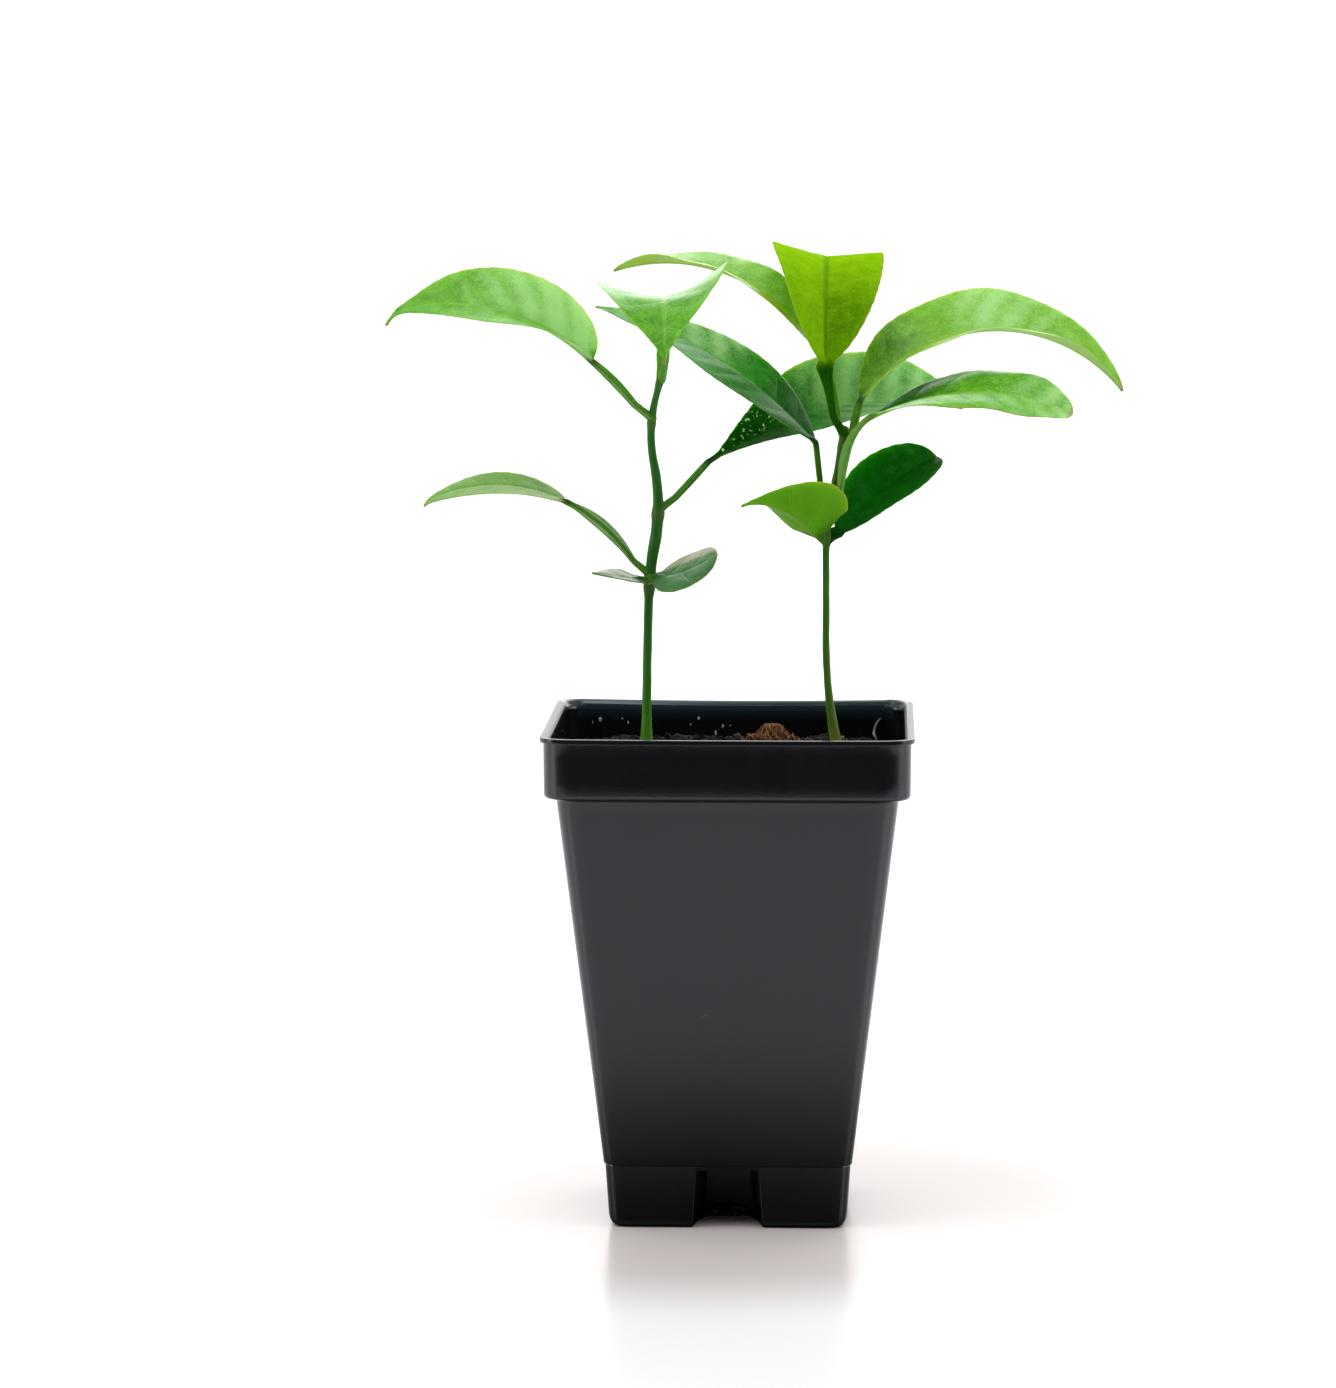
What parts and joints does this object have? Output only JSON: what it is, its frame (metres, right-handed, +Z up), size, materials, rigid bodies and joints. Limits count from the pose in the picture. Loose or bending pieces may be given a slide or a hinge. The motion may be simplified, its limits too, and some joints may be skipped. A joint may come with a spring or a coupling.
{
  "type": "potted clementine tree",
  "caption": "Young two-stemmed clementine plant with long arching leaves on winged petioles, growing in a small tapered square black plastic nursery pot with a collared rim",
  "frame": {"origin": "centre of the pot's flat underside, on the surface that it stands on", "axes": "+Z up; the pot's front wall faces -Y; +X is to the right seen from the front"},
  "size_m": [0.1317, 0.0713, 0.1743],
  "materials": {
    "pot_plastic": "satin black moulded plastic",
    "soil": "moist potting mix with coir",
    "stem": "green bark",
    "leaf": "glossy leaf"
  },
  "bodies": {
    "root": {"pot": "pot_plastic", "soil": "soil", "stem_left": "stem", "stem_right": "stem", "leaf_left_first_west": "leaf", "leaf_left_first_east": "leaf", "leaf_left_low": "leaf", "leaf_left_middle": "leaf", "leaf_left_high": "leaf", "leaf_left_top": "leaf", "leaf_right_first_west": "leaf", "leaf_right_first_east": "leaf", "leaf_right_low": "leaf", "leaf_right_middle": "leaf", "leaf_right_high_east": "leaf", "leaf_right_high_back": "leaf", "leaf_right_top": "leaf"}
  },
  "joints": []
}
